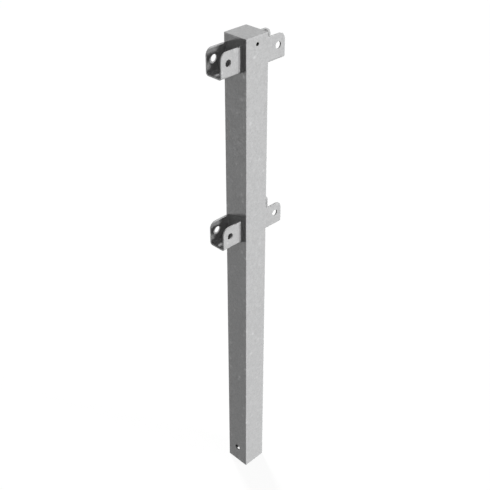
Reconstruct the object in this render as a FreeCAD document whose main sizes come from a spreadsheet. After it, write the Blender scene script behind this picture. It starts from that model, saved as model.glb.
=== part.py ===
import FreeCAD, Part
import math
import os
import Sketcher

# Steel fence post: a square tube with a cap plate and four folded rail brackets, in millimetres.
# +Z is up and the origin is the centre of the tube's open lower end.
# The front face looks to -Y, and the brackets stand on the -X (left) and +X (right) faces.

# Driving dimensions: alias, value, meaning.
SIZES = (
    ("post_width", 80, "outer side of the square tube"),
    ("post_height", 1500, "lower end of the tube to the top of the cap"),
    ("tube_wall", 3, "wall of the tube"),
    ("tube_outer_radius", 2, "outside corner radius of the tube"),
    ("tube_inner_radius", 1, "inside corner radius of the tube"),
    ("cap_thickness", 4, "plate that closes the tube"),
    ("cap_edge_radius", 0.6, "softened upper edge of the cap"),
    ("bracket_sheet", 4, "sheet that the brackets are folded from"),
    ("bend_radius", 4, "inside radius of the two folds"),
    ("slot_width", 48, "clear width between the ears"),
    ("slot_offset", 8, "middle of the slot behind the middle of the post"),
    ("bracket_height", 71, "underside of the floor to the top of the ears"),
    ("left_reach", 67.5, "left brackets, post face to outer end"),
    ("right_reach", 83, "right brackets, post face to outer end"),
    ("ear_corner_radius", 20, "rounded upper outer corner of an ear"),
    ("ear_hole_diameter", 20, "rail bolt hole"),
    ("ear_hole_inset", 25, "rail bolt hole to the outer end of the ear"),
    ("ear_hole_drop", 31, "rail bolt hole below the top of the ear"),
    ("upper_drop", 24, "ears of the upper brackets below the top of the post"),
    ("bracket_pitch", 509, "upper brackets to lower brackets"),
    ("vent_diameter", 10, "vent hole in the front wall"),
    ("vent_drop", 21.5, "vent hole below the top of the post"),
    ("anchor_diameter", 20, "cross hole for an anchor bar"),
    ("anchor_rise", 57, "cross hole above the lower end"),
)

# A sketch's own origin as a reference, geometry and point. Its level axis is -1 and its upright axis -2.
ORIGIN = (-1, 1)
VOLUME_TOLERANCE = 1e-6
PLACE_TOLERANCE = 1e-6


def make_sheet(doc):
    """Writes the driving dimensions into a spreadsheet named sizes."""
    sheet = doc.addObject("Spreadsheet::Sheet", "sizes")
    for row, (alias, value, meaning) in enumerate(SIZES, start=1):
        sheet.set(f"A{row}", meaning)
        sheet.set(f"B{row}", str(value))
        sheet.setAlias(f"B{row}", alias)
    doc.recompute()


def add_body(doc, label):
    """Starts one welded piece."""
    body = doc.addObject("PartDesign::Body", label)
    body.Label = label
    return body


def add_sketch(body, name, plane_role):
    """Starts a sketch on one of the body's own origin planes."""
    sketch = body.newObject("Sketcher::SketchObject", name)
    plane = next(item for item in body.Origin.OriginFeatures if item.Role == plane_role)
    sketch.AttachmentSupport = [(plane, "")]
    sketch.MapMode = "FlatFace"
    return sketch


def bind(sketch, name, expression, kind, *references):
    """Adds a dimension to a sketch and ties it to the sheet."""
    value = float(sketch.evalExpression(expression))
    index = sketch.addConstraint(Sketcher.Constraint(kind, *references, value))
    sketch.renameConstraint(index, name)
    sketch.setExpression(f"Constraints.{name}", expression)


def draw_loop(sketch, corners):
    """Draws a closed outline of level and upright lines, anticlockwise.

    Each corner is (x, y, radius), and a radius of 0 leaves it sharp. Returns the lines, where line i
    leaves corner i, and the arcs of the rounded corners, both in the order of the corners.
    """
    points = [FreeCAD.Vector(x, y, 0) for x, y, radius in corners]
    count = len(points)
    steps = [(points[(i + 1) % count] - points[i]).normalize() for i in range(count)]
    radii = [radius for x, y, radius in corners]
    lines = []
    for i in range(count):
        start = points[i] + steps[i] * radii[i]
        end = points[(i + 1) % count] - steps[i] * radii[(i + 1) % count]
        lines.append(sketch.addGeometry(Part.LineSegment(start, end)))
        level = "Horizontal" if abs(steps[i].x) > abs(steps[i].y) else "Vertical"
        sketch.addConstraint(Sketcher.Constraint(level, lines[i]))
    arcs = []
    for i in range(count):
        before, after = lines[i - 1], lines[i]
        if radii[i] == 0:
            sketch.addConstraint(Sketcher.Constraint("Coincident", before, 2, after, 1))
            continue
        turns_left = steps[i - 1].cross(steps[i]).z > 0
        centre = points[i] + (steps[i] - steps[i - 1]) * radii[i]
        first = -steps[i] if turns_left else steps[i - 1]
        begin = math.atan2(first.y, first.x)
        circle = Part.Circle(centre, FreeCAD.Vector(0, 0, 1), radii[i])
        arc = sketch.addGeometry(Part.ArcOfCircle(circle, begin, begin + math.pi / 2))
        entry, leave = (1, 2) if turns_left else (2, 1)
        sketch.addConstraint(Sketcher.Constraint("Tangent", before, 2, arc, entry))
        sketch.addConstraint(Sketcher.Constraint("Tangent", arc, leave, after, 1))
        arcs.append(arc)
    return lines, arcs


def draw_square(sketch, name, side, radius):
    """Draws a square with rounded corners about the origin; side and radius are expressions."""
    half = float(sketch.evalExpression(side)) / 2
    corner = float(sketch.evalExpression(radius))
    spots = ((-half, -half), (half, -half), (half, half), (-half, half))
    lines, arcs = draw_loop(sketch, [(x, y, corner) for x, y in spots])
    bottom, right, top, left = lines
    for arc in arcs[1:]:
        sketch.addConstraint(Sketcher.Constraint("Equal", arcs[0], arc))
    sketch.addConstraint(Sketcher.Constraint("Symmetric", bottom, 1, top, 1, *ORIGIN))
    bind(sketch, f"{name}_width", side, "DistanceX", left, 2, right, 1)
    bind(sketch, f"{name}_depth", side, "DistanceY", bottom, 2, top, 1)
    bind(sketch, f"{name}_radius", radius, "Radius", arcs[0])


def draw_channel(sketch):
    """Draws the folded section of a bracket: two ears and a floor that stands on the first axis."""
    sheet = float(sketch.evalExpression("sizes.bracket_sheet"))
    inner = float(sketch.evalExpression("sizes.slot_width")) / 2
    height = float(sketch.evalExpression("sizes.bracket_height"))
    bend = float(sketch.evalExpression("sizes.bend_radius"))
    outer = inner + sheet
    lines, arcs = draw_loop(sketch, (
        (-outer, height, 0),
        (-outer, 0, bend + sheet),
        (outer, 0, bend + sheet),
        (outer, height, 0),
        (inner, height, 0),
        (inner, sheet, bend),
        (-inner, sheet, bend),
        (-inner, height, 0),
    ))
    front_out, under, back_out, back_top, back_in, floor, front_in, front_top = lines
    front_outer, back_outer, back_inner, front_inner = arcs
    sketch.addConstraint(Sketcher.Constraint("PointOnObject", under, 1, -1))
    sketch.addConstraint(Sketcher.Constraint("Symmetric", front_out, 1, back_out, 2, -2))
    sketch.addConstraint(Sketcher.Constraint("Equal", front_inner, back_inner))
    sketch.addConstraint(Sketcher.Constraint("Equal", front_outer, back_outer))
    bind(sketch, "slot", "sizes.slot_width", "DistanceX", front_in, 2, back_in, 1)
    bind(sketch, "front_sheet", "sizes.bracket_sheet", "DistanceX", front_out, 1, front_in, 2)
    bind(sketch, "back_sheet", "sizes.bracket_sheet", "DistanceX", back_in, 1, back_out, 2)
    bind(sketch, "floor_sheet", "sizes.bracket_sheet", "DistanceY", under, 2, floor, 1)
    bind(sketch, "height", "sizes.bracket_height", "DistanceY", under, 2, back_out, 2)
    bind(sketch, "inside_bend", "sizes.bend_radius", "Radius", front_inner)
    bind(sketch, "outside_bend", "sizes.bend_radius + sizes.bracket_sheet", "Radius", front_outer)


def draw_circle(sketch, diameter, up, along=None):
    """Draws a hole; without along it is centred on the upright axis. All sizes are expressions."""
    x = float(sketch.evalExpression(along)) if along else 0
    centre = FreeCAD.Vector(x, float(sketch.evalExpression(up)), 0)
    radius = float(sketch.evalExpression(diameter)) / 2
    circle = sketch.addGeometry(Part.Circle(centre, FreeCAD.Vector(0, 0, 1), radius))
    if along:
        bind(sketch, "along", along, "DistanceX", *ORIGIN, circle, 3)
    else:
        sketch.addConstraint(Sketcher.Constraint("PointOnObject", circle, 3, -2))
    bind(sketch, "up", up, "DistanceY", *ORIGIN, circle, 3)
    bind(sketch, "diameter", diameter, "Diameter", circle)


def add_pad(body, name, sketch, length):
    """Pads a sketch by a length from the sheet."""
    pad = body.newObject("PartDesign::Pad", name)
    pad.Profile = sketch
    pad.setExpression("Length", length)
    body.Document.recompute()
    return pad


def drill(body, name, sketch, diameter, wall, both_ways):
    """Cuts a hole through one flat wall, or through two with both_ways, and checks what it removed."""
    solid = body.Shape.Volume
    pocket = body.newObject("PartDesign::Pocket", name)
    pocket.Profile = sketch
    pocket.Type = "ThroughAll"
    if both_ways:
        pocket.SideType = "Symmetric"
    else:
        pocket.Reversed = True
    body.Document.recompute()
    walls = 2 if both_ways else 1
    area = math.pi * float(body.evalExpression(diameter)) ** 2 / 4
    expected = walls * area * float(body.evalExpression(wall))
    if abs(solid - body.Shape.Volume - expected) > VOLUME_TOLERANCE * solid:
        raise RuntimeError(f"{name} cut {solid - body.Shape.Volume} and not {expected}")


def soften(body, name, base, radius, chosen):
    """Rounds the edges of base whose two ends satisfy chosen."""
    names = [
        f"Edge{i}"
        for i, edge in enumerate(base.Shape.Edges, start=1)
        if all(chosen(vertex.Point) for vertex in edge.Vertexes)
    ]
    fillet = body.newObject("PartDesign::Fillet", name)
    fillet.Base = (base, names)
    fillet.setExpression("Radius", radius)
    body.Document.recompute()


def make_tube(doc):
    """Square tube, open below, with the vent hole and the anchor hole."""
    body = add_body(doc, "post_tube")
    section = add_sketch(body, "tube_section", "XY_Plane")
    draw_square(section, "outside", "sizes.post_width", "sizes.tube_outer_radius")
    draw_square(section, "inside", "sizes.post_width - 2 * sizes.tube_wall", "sizes.tube_inner_radius")
    add_pad(body, "tube_length", section, "sizes.post_height - sizes.cap_thickness")
    vent = add_sketch(body, "vent_circle", "XZ_Plane")
    draw_circle(vent, "sizes.vent_diameter", "sizes.post_height - sizes.vent_drop")
    drill(body, "vent_hole", vent, "sizes.vent_diameter", "sizes.tube_wall", both_ways=False)
    anchor = add_sketch(body, "anchor_circle", "YZ_Plane")
    draw_circle(anchor, "sizes.anchor_diameter", "sizes.anchor_rise")
    drill(body, "anchor_hole", anchor, "sizes.anchor_diameter", "sizes.tube_wall", both_ways=True)
    return body


def make_cap(doc):
    """Plate on the upper end of the tube, flush with its faces."""
    body = add_body(doc, "top_cap")
    outline = add_sketch(body, "cap_outline", "XY_Plane")
    draw_square(outline, "plate", "sizes.post_width", "sizes.tube_outer_radius")
    plate = add_pad(body, "cap_plate", outline, "sizes.cap_thickness")
    top = plate.Shape.BoundBox.ZMax
    soften(
        body,
        "cap_edge",
        plate,
        "sizes.cap_edge_radius",
        lambda point: abs(point.z - top) < PLACE_TOLERANCE,
    )
    body.setExpression("Placement.Base.z", "sizes.post_height - sizes.cap_thickness")
    return body


def make_bracket(doc, label, reach, side, level):
    """Folded channel that stands out from a side face: side is -1 or 1, level 0 is the upper pair."""
    body = add_body(doc, label)
    section = add_sketch(body, f"{label}_section", "YZ_Plane")
    draw_channel(section)
    channel = add_pad(body, f"{label}_channel", section, reach)
    end, top = channel.Shape.BoundBox.XMax, channel.Shape.BoundBox.ZMax
    soften(
        body,
        f"{label}_corners",
        channel,
        "sizes.ear_corner_radius",
        lambda point: max(abs(point.x - end), abs(point.z - top)) < PLACE_TOLERANCE,
    )
    hole = add_sketch(body, f"{label}_circle", "XZ_Plane")
    draw_circle(
        hole,
        "sizes.ear_hole_diameter",
        "sizes.bracket_height - sizes.ear_hole_drop",
        f"{reach} - sizes.ear_hole_inset",
    )
    drill(body, f"{label}_hole", hole, "sizes.ear_hole_diameter", "sizes.bracket_sheet", both_ways=True)
    turn = FreeCAD.Rotation(FreeCAD.Vector(0, 0, 1), 0 if side > 0 else 180)
    body.Placement = FreeCAD.Placement(FreeCAD.Vector(0, 0, 0), turn)
    body.setExpression("Placement.Base.x", f"{side} * sizes.post_width / 2")
    body.setExpression("Placement.Base.y", "sizes.slot_offset")
    foot = "sizes.post_height - sizes.upper_drop - sizes.bracket_height"
    body.setExpression("Placement.Base.z", f"{foot} - {level} * sizes.bracket_pitch")
    return body


def check(doc, bodies):
    """Stops before anything is written if a feature failed or a piece isn't one valid solid."""
    for item in doc.Objects:
        if "Invalid" in item.State or "Error" in item.State:
            raise RuntimeError(f"{item.Name} failed: {item.State}")
    for body in bodies:
        if body.Shape.isNull() or not body.Shape.isValid() or len(body.Shape.Solids) != 1:
            raise RuntimeError(f"{body.Label} isn't one valid solid")


def main():
    doc = FreeCAD.newDocument("fence_post")
    make_sheet(doc)
    bodies = [make_tube(doc), make_cap(doc)]
    for level, height_name in enumerate(("upper", "lower")):
        for side, side_name in ((-1, "left"), (1, "right")):
            label = f"bracket_{height_name}_{side_name}"
            bodies.append(make_bracket(doc, label, f"sizes.{side_name}_reach", side, level))
    doc.recompute()
    check(doc, bodies)
    os.makedirs("parts", exist_ok=True)
    for body in bodies:
        body.Shape.exportStep(f"parts/{body.Label}.step")
        box = body.Shape.BoundBox
        print(f"{body.Label}: {body.Shape.Volume:.0f} mm3, X {box.XMin:.1f} to {box.XMax:.1f},",
              f"Y {box.YMin:.1f} to {box.YMax:.1f}, Z {box.ZMin:.1f} to {box.ZMax:.1f}")


main()
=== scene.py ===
"""Looks of a galvanised steel fence post with four welded rail brackets.

The post stands on a pale floor in the frame of its solids: metres, +Z up, the front face to -Y.
"""

import logging
import math
from collections.abc import Callable, Mapping
from dataclasses import dataclass, field
from enum import Enum

import bpy
from mathutils import Euler, Matrix, Vector


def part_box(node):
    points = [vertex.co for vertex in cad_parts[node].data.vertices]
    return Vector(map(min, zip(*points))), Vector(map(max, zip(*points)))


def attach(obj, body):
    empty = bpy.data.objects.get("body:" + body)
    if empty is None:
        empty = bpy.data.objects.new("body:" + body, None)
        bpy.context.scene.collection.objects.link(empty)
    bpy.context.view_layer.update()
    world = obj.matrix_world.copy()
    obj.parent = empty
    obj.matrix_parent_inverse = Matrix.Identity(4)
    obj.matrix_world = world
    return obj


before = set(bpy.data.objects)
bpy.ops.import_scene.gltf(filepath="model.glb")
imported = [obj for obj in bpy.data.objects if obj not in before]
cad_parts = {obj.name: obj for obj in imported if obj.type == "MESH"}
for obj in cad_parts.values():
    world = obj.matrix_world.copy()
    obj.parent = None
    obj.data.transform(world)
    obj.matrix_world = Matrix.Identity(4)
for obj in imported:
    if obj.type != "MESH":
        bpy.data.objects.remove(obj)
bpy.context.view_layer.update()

LOG = logging.getLogger("fence_post")
MM = 0.001
BODY = "root"

Colour = tuple[float, float, float]
Paint = tuple[float, float, float, float]
Point = tuple[float, float, float]
WHITE: Paint = (1.0, 1.0, 1.0, 1.0)


class Slot(Enum):
    """Material slots of the record that pieces take their finish from."""

    STEEL = "galvanised_steel"


class Side(Enum):
    """Side face of the post that a bracket stands on, as the sign of X."""

    LEFT = -1
    RIGHT = 1


class Level(Enum):
    """Height of a pair of brackets, as how many pitches it lies below the upper pair."""

    UPPER = 0
    LOWER = 1


class Value:
    """A number in a shader: arithmetic on it adds Math nodes to its graph."""

    def __init__(self, graph: "Graph", socket: bpy.types.NodeSocket) -> None:
        """Keeps the graph and the output socket that gives the number."""
        self.graph = graph
        self.socket = socket

    def __add__(self, other: "Number") -> "Value":
        """Sum of two numbers."""
        return self.graph.math("ADD", self, other)

    def __radd__(self, other: "Number") -> "Value":
        """Sum with a plain number on the left."""
        return self.graph.math("ADD", other, self)

    def __sub__(self, other: "Number") -> "Value":
        """Difference of two numbers."""
        return self.graph.math("SUBTRACT", self, other)

    def __rsub__(self, other: "Number") -> "Value":
        """Difference with a plain number on the left."""
        return self.graph.math("SUBTRACT", other, self)

    def __mul__(self, other: "Number") -> "Value":
        """Product of two numbers."""
        return self.graph.math("MULTIPLY", self, other)

    def __rmul__(self, other: "Number") -> "Value":
        """Product with a plain number on the left."""
        return self.graph.math("MULTIPLY", other, self)

    def __pow__(self, other: "Number") -> "Value":
        """Power of a number."""
        return self.graph.math("POWER", self, other)

    def __rpow__(self, other: "Number") -> "Value":
        """Power of a plain number on the left."""
        return self.graph.math("POWER", other, self)

    def __abs__(self) -> "Value":
        """Size of a number without its sign."""
        return self.graph.math("ABSOLUTE", self)

    def at_least(self, other: "Number") -> "Value":
        """The larger of two numbers."""
        return self.graph.math("MAXIMUM", self, other)

    def at_most(self, other: "Number") -> "Value":
        """The smaller of two numbers."""
        return self.graph.math("MINIMUM", self, other)

    def rise(self, low: float, high: float) -> "Value":
        """Smooth step from 0 at low to 1 at high.

        Args:
            low: where the step starts.
            high: where the step ends; below low, the step falls instead.

        Returns:
            The step's height at this number.
        """
        falls = high < low
        node = self.graph.node(
            "ShaderNodeMapRange",
            {"interpolation_type": "SMOOTHSTEP"},
            {"Value": self, "From Min": min(low, high), "From Max": max(low, high),
             "To Min": float(falls), "To Max": float(not falls)},
        )
        return Value(self.graph, node.outputs["Result"])


Number = Value | float
Settings = Mapping[str, object]
Sockets = Mapping[str | int, object]


class Graph:
    """The node tree of one material or world."""

    def __init__(self, tree: bpy.types.NodeTree) -> None:
        """Starts from an empty tree."""
        self.tree = tree
        tree.nodes.clear()

    def node(self, kind: str, settings: Settings, sockets: Sockets) -> bpy.types.Node:
        """Adds a node.

        Args:
            kind: the node's type.
            settings: the node's own properties, set before its sockets.
            sockets: a value or a link for each input, by its name or number.

        Returns:
            The new node.
        """
        made = self.tree.nodes.new(kind)
        for name, setting in settings.items():
            setattr(made, name, setting)
        for name, given in sockets.items():
            self.feed(made.inputs[name], given)
        return made

    def feed(self, target: bpy.types.NodeSocket, given: object) -> None:
        """Links a socket or a Value to an input, or sets the input to a constant."""
        if isinstance(given, Value):
            given = given.socket
        if isinstance(given, bpy.types.NodeSocket):
            self.tree.links.new(given, target)
        else:
            target.default_value = given

    def math(self, operation: str, *terms: Number) -> Value:
        """Adds a Math node on one or two numbers."""
        made = self.node("ShaderNodeMath", {"operation": operation}, {})
        for target, term in zip(made.inputs, terms):
            self.feed(target, term)
        return Value(self, made.outputs[0])

    def place(self) -> bpy.types.NodeSocket:
        """Place on the piece, in metres."""
        return self.node("ShaderNodeTexCoord", {}, {}).outputs["Object"]

    def parts(self, vector: bpy.types.NodeSocket) -> tuple[Value, Value, Value]:
        """The three numbers of a vector or colour."""
        split = self.node("ShaderNodeSeparateXYZ", {}, {"Vector": vector})
        x, y, z = (Value(self, socket) for socket in split.outputs)
        return x, y, z

    def noise(self, place: bpy.types.NodeSocket, size: float) -> Value:
        """Cloudy noise from -1 to 1, in clouds of about this size."""
        made = self.node("ShaderNodeTexNoise", {}, {"Vector": place, "Scale": 1 / size})
        return Value(self, made.outputs[0]) * 2.0 - 1.0

    def seen(self) -> Value:
        """1 for what is seen directly, mirrored or through glass, and 0 for light that is scattered."""
        path = self.node("ShaderNodeLightPath", {}, {})
        kinds = ("Camera", "Glossy", "Transmission")
        camera, glossy, through = (Value(self, path.outputs[f"Is {kind} Ray"]) for kind in kinds)
        return camera.at_least(glossy).at_least(through)


Mask = Callable[[Value, Value, Value], Value]


@dataclass(frozen=True)
class ZincCoat:
    """Matt grey zinc of hot-dip galvanising: crystals, patches, drain streaks, pale spots and grain.

    A share is how much a feature changes the tone, a shine how much it adds to the metallic part,
    a rough how much it adds to the roughness, and a height how far it stands out of the surface.
    """

    tone: Colour = (0.545, 0.547, 0.549)
    roughness: float = 0.68
    metallic: float = 0.05
    specular: float = 0.15
    crystal_size: float = 4 * MM
    crystal_share: float = 0.135
    crystal_shine: float = 0.15
    crystal_rough: float = 0.14
    crystal_height: float = 0.01 * MM
    feathers: float = 1.3
    feather_detail: float = 3.0
    feather_reach: float = 0.9
    patch_size: float = 11 * MM
    patch_share: float = 0.045
    patch_rough: float = 0.08
    streak_width: float = 9 * MM
    streak_stretch: float = 7.0
    streak_share: float = 0.02
    spot_pitch: float = 34 * MM
    spot_radius: float = 7.8 * MM
    spot_core: float = 0.6 * MM
    spot_least: float = 0.4
    spot_share: float = 0.26
    spot_shine: float = 0.09
    grain_size: float = 1.1 * MM
    grain_share: float = 0.08
    grain_rough: float = 0.05
    grain_height: float = 0.015 * MM
    swell_size: float = 6 * MM
    swell_height: float = 0.24 * MM
    edge_share: float = 0.05
    edge_rough: float = -0.1

    def material(self, name: str, edges: Mask | None = None) -> bpy.types.Material:
        """Makes the finish for one kind of piece.

        Args:
            name: the material's name.
            edges: gives 1 at the rubbed edges of the piece and 0 elsewhere; none are rubbed without it.

        Returns:
            The node material.
        """
        made = bpy.data.materials.new(name)
        made.use_nodes = True
        graph = Graph(made.node_tree)
        place = graph.place()
        feathered = self.feathered(graph, place)
        crystal, shine = self.cells(graph, feathered, self.crystal_size)
        patch, dull = self.cells(graph, feathered, self.patch_size)
        streak = self.streaks(graph, place)
        grain = graph.noise(place, self.grain_size)
        swell = graph.noise(place, self.swell_size)
        spot = self.spots(graph, place)
        shade = (
            1.0 + crystal * self.crystal_share + patch * self.patch_share + streak * self.streak_share
            + grain * self.grain_share + spot * self.spot_share
        )
        rough = (
            self.roughness + shine * self.crystal_rough + dull * self.patch_rough
            + grain * self.grain_rough
        )
        metal = self.metallic + shine * self.crystal_shine + spot * self.spot_shine
        height = grain * self.grain_height + crystal * self.crystal_height + swell * self.swell_height
        if edges is not None:
            edge = edges(*graph.parts(place))
            shade = shade + edge * self.edge_share
            rough = rough + edge * self.edge_rough
        colour = graph.node(
            "ShaderNodeVectorMath", {"operation": "SCALE"}, {"Vector": self.tone, "Scale": shade}
        )
        bump = graph.node("ShaderNodeBump", {}, {"Distance": 1.0, "Height": height})
        steel = graph.node("ShaderNodeBsdfPrincipled", {}, {
            "Base Color": colour.outputs["Vector"],
            "Metallic": metal.at_least(0.0),
            "Roughness": rough,
            "Specular IOR Level": self.specular,
            "Normal": bump.outputs["Normal"],
        })
        graph.node("ShaderNodeOutputMaterial", {}, {"Surface": steel.outputs["BSDF"]})
        return made

    def feathered(self, graph: Graph, place: bpy.types.NodeSocket) -> bpy.types.NodeSocket:
        """The place, pushed about a little so that crystal borders feather."""
        cloud = graph.node(
            "ShaderNodeTexNoise", {},
            {"Vector": place, "Scale": self.feathers / self.crystal_size, "Detail": self.feather_detail},
        )
        centred = graph.node(
            "ShaderNodeVectorMath", {"operation": "SUBTRACT"},
            {0: cloud.outputs["Color"], 1: (0.5, 0.5, 0.5)},
        )
        push = graph.node(
            "ShaderNodeVectorMath", {"operation": "SCALE"},
            {"Vector": centred.outputs["Vector"], "Scale": self.feather_reach * self.crystal_size},
        )
        moved = graph.node(
            "ShaderNodeVectorMath", {"operation": "ADD"}, {0: place, 1: push.outputs["Vector"]}
        )
        return moved.outputs["Vector"]

    def cells(self, graph: Graph, place: bpy.types.NodeSocket, size: float) -> tuple[Value, Value]:
        """Two numbers from -0.5 to 0.5 that are constant over a crystal of about this size."""
        made = graph.node(
            "ShaderNodeTexVoronoi", {"feature": "F1"}, {"Vector": place, "Scale": 1 / size}
        )
        first, second, _ = graph.parts(made.outputs["Color"])
        return first - 0.5, second - 0.5

    def streaks(self, graph: Graph, place: bpy.types.NodeSocket) -> Value:
        """Soft upright streaks, where the zinc drained."""
        drawn = graph.node(
            "ShaderNodeMapping", {"vector_type": "POINT"},
            {"Vector": place, "Scale": (1.0, 1.0, 1.0 / self.streak_stretch)},
        )
        return graph.noise(drawn.outputs["Vector"], self.streak_width)

    def spots(self, graph: Graph, place: bpy.types.NodeSocket) -> Value:
        """Sparse pale spots, some stronger than others."""
        made = graph.node(
            "ShaderNodeTexVoronoi", {"feature": "F1"}, {"Vector": place, "Scale": 1 / self.spot_pitch}
        )
        away = Value(graph, made.outputs["Distance"]) * self.spot_pitch
        chance, _, _ = graph.parts(made.outputs["Color"])
        strength = self.spot_least + (1.0 - self.spot_least) * chance
        return away.rise(self.spot_radius, self.spot_core) * strength


def grey(level: float) -> Paint:
    """An even grey of this level."""
    return level, level, level, 1.0


def put_on(piece: bpy.types.Object, material: bpy.types.Material) -> None:
    """Puts a material in every slot of a piece."""
    if not piece.material_slots:
        piece.data.materials.append(material)
    for slot in piece.material_slots:
        slot.material = material


def deselect() -> None:
    """Leaves nothing selected."""
    bpy.ops.object.select_all(action="DESELECT")


def past_corner(across: Value, up: Value, radius: float) -> Value:
    """Distance past the outline of a rounded corner.

    Args:
        across: distance past the upright side, negative inside.
        up: distance past the level side, negative inside.
        radius: the corner's radius.

    Returns:
        The distance past the rounded outline, negative inside.
    """
    right = across + radius
    high = up + radius
    past = (right.at_least(0.0) ** 2.0 + high.at_least(0.0) ** 2.0) ** 0.5
    return past + right.at_least(high).at_most(0.0) - radius


@dataclass
class PostTube:
    """The square tube."""

    node: str = "post_tube"
    band: float = 2.0 * MM
    finish: ZincCoat = field(default_factory=ZincCoat)

    def rubbed(self, x: Value, y: Value, z: Value) -> Value:
        """1 on the tube's four long corners and at its cut lower end."""
        low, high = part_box(self.node)
        corner = abs(x).at_most(abs(y)).rise(high.x - self.band, high.x)
        end = z.rise(low.z + self.band, low.z)
        return corner.at_least(end)

    def dress(self) -> None:
        """Gives the tube its finish."""
        put_on(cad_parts[self.node], self.finish.material("zinc_on_tube", self.rubbed))


@dataclass
class TopCap:
    """The plate that closes the tube."""

    node: str = "top_cap"
    band: float = 1.6 * MM
    finish: ZincCoat = field(default_factory=ZincCoat)

    def rubbed(self, x: Value, y: Value, z: Value) -> Value:
        """1 along the plate's upper edge."""
        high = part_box(self.node)[1]
        return abs(x).at_least(abs(y)).rise(high.x - self.band, high.x)

    def dress(self) -> None:
        """Gives the plate its finish."""
        put_on(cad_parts[self.node], self.finish.material("zinc_on_cap", self.rubbed))


@dataclass
class WeldBead:
    """Rippled fillet weld round the outside of a left bracket's fold."""

    leg: float = 1.8 * MM
    root: float = 0.6 * MM
    face_steps: int = 4
    face_profile: float = 0.33
    ripple: float = 1.2 * MM
    swell: float = 1.14
    tip: float = 0.5
    end_gap: float = 3.0 * MM
    fold: float = 8.0 * MM
    fold_steps: int = 10
    smooth_angle: float = 60.0

    def build(self, name: str, face: float, low: Vector, high: Vector) -> bpy.types.Object:
        """Models the bead along the corner between a left bracket and the tube.

        Args:
            name: the piece's name.
            face: X of the tube's face.
            low: lowest corner of the bracket.
            high: highest corner of the bracket.

        Returns:
            The bead, at the origin with its place in its mesh.
        """
        start = Vector((face, low.y, high.z - self.end_gap))
        piece = self.lay_section(name, start)
        tip = Vector((0, 0, self.ripple))
        upright = Vector((0, 0, start.z - self.ripple - low.z - self.fold))
        level = Vector((0, high.y - low.y - 2 * self.fold, 0))
        self.resize(start, self.tip)
        at = self.step(start, -tip, 1 / self.tip)
        at = self.run(at, -upright)
        at = self.bend(at, Vector((face, low.y + self.fold, low.z + self.fold)))
        at = self.run(at, level)
        at = self.bend(at, Vector((face, high.y - self.fold, low.z + self.fold)))
        at = self.run(at, upright)
        self.step(at, tip, self.tip)
        bpy.ops.mesh.select_all(action="SELECT")
        bpy.ops.mesh.normals_make_consistent(inside=False)
        bpy.ops.object.mode_set(mode="OBJECT")
        bpy.ops.object.shade_smooth_by_angle(angle=math.radians(self.smooth_angle))
        return piece

    def lay_section(self, name: str, start: Vector) -> bpy.types.Object:
        """Lays the level section: a square sunk a little in both sheets, with a full face.

        Args:
            name: the piece's name.
            start: upper end of the bead, in the corner between the two sheets.

        Returns:
            The piece, in edit mode with its one face selected.
        """
        deselect()
        inwards = (self.root - self.leg) / 2
        bpy.ops.mesh.primitive_plane_add(
            size=self.leg + self.root, location=start + Vector((inwards, inwards, 0))
        )
        piece = bpy.context.active_object
        piece.name = name
        bpy.ops.object.transform_apply(location=True, rotation=True, scale=True)
        bpy.ops.object.mode_set(mode="EDIT")
        bpy.ops.mesh.select_mode(type="VERT")
        bpy.ops.mesh.select_all(action="DESELECT")
        bpy.ops.object.mode_set(mode="OBJECT")
        outer = min(piece.data.vertices, key=lambda vertex: vertex.co.x + vertex.co.y)
        outer.select = True
        bpy.ops.object.mode_set(mode="EDIT")
        bpy.ops.mesh.bevel(
            offset=self.leg, offset_type="OFFSET", segments=self.face_steps,
            profile=self.face_profile, affect="VERTICES",
        )
        bpy.ops.mesh.select_mode(type="FACE")
        bpy.ops.mesh.select_all(action="SELECT")
        return piece

    def run(self, at: Vector, way: Vector) -> Vector:
        """Lays a straight run, a ripple at a time, and gives the place it ends at."""
        steps = 2 * max(1, round(way.length / self.ripple / 2))
        for step in range(steps):
            at = self.step(at, way / steps, self.pulse(step))
        return at

    def step(self, at: Vector, way: Vector, size: float) -> Vector:
        """Extrudes the end face by one ripple, scales it and gives the place it ends at."""
        bpy.ops.mesh.extrude_region_move(TRANSFORM_OT_translate={"value": way})
        self.resize(at + way, size)
        return at + way

    def bend(self, at: Vector, centre: Vector) -> Vector:
        """Spins the end face a quarter turn round a fold and gives the place it ends at."""
        angle = math.pi / 2 / self.fold_steps
        turn = Matrix.Rotation(angle, 3, "X")
        for step in range(self.fold_steps):
            bpy.ops.mesh.spin(steps=1, angle=-angle, center=centre, axis=(1, 0, 0), dupli=False)
            at = centre + turn @ (at - centre)
            self.resize(at, self.pulse(step))
        return at

    def pulse(self, step: int) -> float:
        """Growth of the end face: it swells on every second step and draws in again on the next."""
        return self.swell if step % 2 == 0 else 1 / self.swell

    def resize(self, at: Vector, size: float) -> None:
        """Scales the end face about the corner it runs in."""
        bpy.ops.transform.resize(value=(size, size, size), center_override=at)


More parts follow.
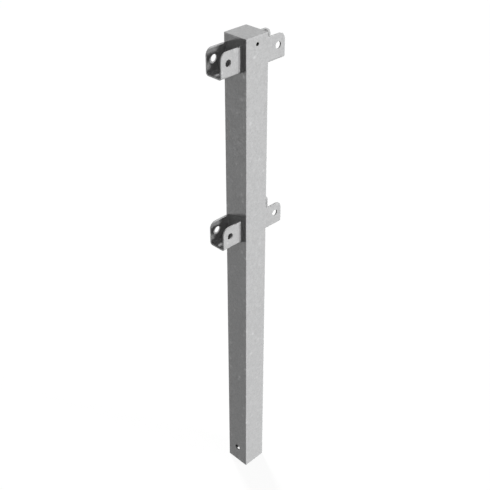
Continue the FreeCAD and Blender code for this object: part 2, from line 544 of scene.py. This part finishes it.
@dataclass
class RailBracket:
    """A folded channel welded to a side face, with bolt holes in its two ears."""

    side: Side
    level: Level
    corner: float = 20 * MM
    hole_inset: float = 25 * MM
    hole_drop: float = 31 * MM
    hole_radius: float = 10 * MM
    band: float = 1.8 * MM
    finish: ZincCoat = field(default_factory=ZincCoat)

    @property
    def tag(self) -> str:
        """Level and side, as in the node's name."""
        return f"{self.level.name}_{self.side.name}".lower()

    @property
    def node(self) -> str:
        """Name of the bracket's solid."""
        return f"bracket_{self.tag}"

    def rubbed(self, x: Value, y: Value, z: Value) -> Value:
        """1 along the cut outline of the ears and round their bolt holes."""
        low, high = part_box(self.node)
        reach = max(-low.x, high.x)
        outline = past_corner(abs(x) - reach, z - high.z, self.corner)
        along = abs(x) - (reach - self.hole_inset)
        up = z - (high.z - self.hole_drop)
        away = (along ** 2.0 + up ** 2.0) ** 0.5
        rim = away.rise(self.hole_radius + self.band, self.hole_radius)
        return outline.rise(-self.band, 0.0).at_least(rim)

    def dress(self) -> None:
        """Gives the bracket its finish."""
        put_on(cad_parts[self.node], self.finish.material(f"zinc_on_{self.node}", self.rubbed))


@dataclass
class Welds:
    """The beads that join the four brackets to the tube."""

    brackets: list[RailBracket]
    bead: WeldBead = field(default_factory=WeldBead)
    finish: ZincCoat = field(default_factory=lambda: ZincCoat(roughness=0.52))

    def build(self) -> list[bpy.types.Object]:
        """Models one bead and copies it to the other brackets.

        Returns:
            A bead for each bracket, in their order.
        """
        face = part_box("post_tube")[1].x
        first = self.brackets[0]
        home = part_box(first.node)
        middle = (home[0].y + home[1].y) / 2
        pattern = self.bead.build(f"weld_{first.tag}", first.side.value * face, *home)
        beads = [pattern]
        for bracket in self.brackets[1:]:
            copy = pattern.copy()
            copy.data = pattern.data.copy()
            copy.name = f"weld_{bracket.tag}"
            bpy.context.scene.collection.objects.link(copy)
            deselect()
            copy.select_set(True)
            bpy.context.view_layer.objects.active = copy
            if bracket.side is not first.side:
                bpy.ops.transform.rotate(value=math.pi, orient_axis="Z", center_override=(0, middle, 0))
            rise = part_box(bracket.node)[0].z - home[0].z
            bpy.ops.transform.translate(value=(0, 0, rise))
            bpy.ops.object.transform_apply(location=True, rotation=True, scale=True)
            beads.append(copy)
        return beads

    def dress(self, beads: list[bpy.types.Object]) -> None:
        """Coats the beads and fixes them to the post."""
        material = self.finish.material("zinc_on_welds")
        for bead in beads:
            put_on(bead, material)
            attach(bead, BODY)


@dataclass
class Lamp:
    """A distant soft lamp, its angles in degrees, whose light doesn't bounce on from sheet to sheet."""

    name: str
    turn: float
    rise: float
    share: float
    width: float
    bounces: int = 0

    def build(self) -> bpy.types.Object:
        """Hangs the lamp, turned to the right of the front and risen above the horizon.

        Returns:
            The lamp; at a share of 1 a face square to it shows its colour as written.
        """
        data = bpy.data.lights.new(self.name, "SUN")
        data.energy = self.share * math.pi
        data.angle = math.radians(self.width)
        data.cycles.max_bounces = self.bounces
        lamp = bpy.data.objects.new(self.name, data)
        turn, rise = math.radians(self.turn), math.radians(self.rise)
        level = math.cos(rise)
        way = Vector((math.sin(turn) * level, -math.cos(turn) * level, math.sin(rise)))
        lamp.rotation_euler = way.to_track_quat("Z", "Y").to_euler()
        bpy.context.scene.collection.objects.link(lamp)
        return lamp


@dataclass
class Studio:
    """Pale floor, soft lamps, a white surround and the camera."""

    floor_size: float = 60.0
    floor_gap: float = 0.2 * MM
    floor_tone: float = 0.12
    floor_glow: float = 0.93
    scatter_tone: float = 0.06
    white: float = 1.0
    ambient: float = 0.127
    eye: Point = (-1.49443, -1.48785, 2.24772)
    pitch: float = 33.354
    heading: float = -45.042
    lens: float = 63.64
    sensor: float = 36.0
    lamps: tuple[Lamp, ...] = (
        Lamp("front_lamp", 6.0, 3.0, 0.58, 3.0),
        Lamp("front_right_lamp", 24.0, 16.0, 0.37, 10.0),
        Lamp("back_top_lamp", 155.0, 53.0, 0.545, 8.0),
        Lamp("low_left_lamp", -144.0, -18.0, 0.32, 8.0),
    )

    def build_floor(self) -> bpy.types.Object:
        """Lays the floor just under the post; low lamps shine through it."""
        deselect()
        bpy.ops.mesh.primitive_plane_add(size=self.floor_size, location=(0, 0, -self.floor_gap))
        floor = bpy.context.active_object
        floor.name = "floor"
        floor.visible_shadow = False
        made = bpy.data.materials.new("pale_floor")
        made.use_nodes = True
        graph = Graph(made.node_tree)
        pale = graph.node("ShaderNodeBsdfDiffuse", {}, {"Color": grey(self.floor_tone)})
        glow = graph.node("ShaderNodeEmission", {}, {"Color": WHITE, "Strength": self.floor_glow})
        shown = graph.node("ShaderNodeAddShader", {}, {0: pale.outputs[0], 1: glow.outputs[0]})
        scatter = graph.node("ShaderNodeBsdfDiffuse", {}, {"Color": grey(self.scatter_tone)})
        mix = graph.node(
            "ShaderNodeMixShader", {}, {0: graph.seen(), 1: scatter.outputs[0], 2: shown.outputs[0]}
        )
        graph.node("ShaderNodeOutputMaterial", {}, {"Surface": mix.outputs[0]})
        put_on(floor, made)
        return floor

    def build_surround(self) -> bpy.types.World:
        """White where it is seen, and a dim even light on the post."""
        world = bpy.data.worlds.new("surround")
        world.use_nodes = True
        graph = Graph(world.node_tree)
        shown = graph.node("ShaderNodeBackground", {}, {"Color": WHITE, "Strength": self.white})
        dim = graph.node("ShaderNodeBackground", {}, {"Color": WHITE, "Strength": self.ambient})
        mix = graph.node(
            "ShaderNodeMixShader", {}, {0: graph.seen(), 1: dim.outputs[0], 2: shown.outputs[0]}
        )
        graph.node("ShaderNodeOutputWorld", {}, {"Surface": mix.outputs[0]})
        bpy.context.scene.world = world
        return world

    def build_camera(self) -> bpy.types.Object:
        """Sets the camera where the picture was taken from."""
        data = bpy.data.cameras.new("camera")
        data.lens = self.lens
        data.sensor_width = self.sensor
        camera = bpy.data.objects.new("camera", data)
        camera.location = self.eye
        camera.rotation_euler = Euler((math.radians(90 - self.pitch), 0, math.radians(self.heading)))
        bpy.context.scene.collection.objects.link(camera)
        bpy.context.scene.camera = camera
        return camera

    def build(self) -> None:
        """Builds the whole studio."""
        bpy.context.scene.view_settings.view_transform = "Standard"
        self.build_floor()
        self.build_surround()
        self.build_camera()
        for lamp in self.lamps:
            lamp.build()


def main() -> None:
    """Dresses the post piece by piece and sets up the studio."""
    logging.basicConfig(level=logging.INFO, format="%(name)s: %(message)s")
    tube = PostTube()
    tube.dress()
    LOG.info("dressed %s", tube.node)
    cap = TopCap()
    cap.dress()
    LOG.info("dressed %s", cap.node)
    brackets = [RailBracket(side, level) for level in Level for side in Side]
    for bracket in brackets:
        bracket.dress()
        LOG.info("dressed %s", bracket.node)
    welds = Welds(brackets)
    beads = welds.build()
    welds.dress(beads)
    for bead in beads:
        LOG.info("welded %s, %d faces", bead.name, len(bead.data.polygons))
    Studio().build()
    LOG.info("studio ready")


if __name__ == "__main__":
    main()
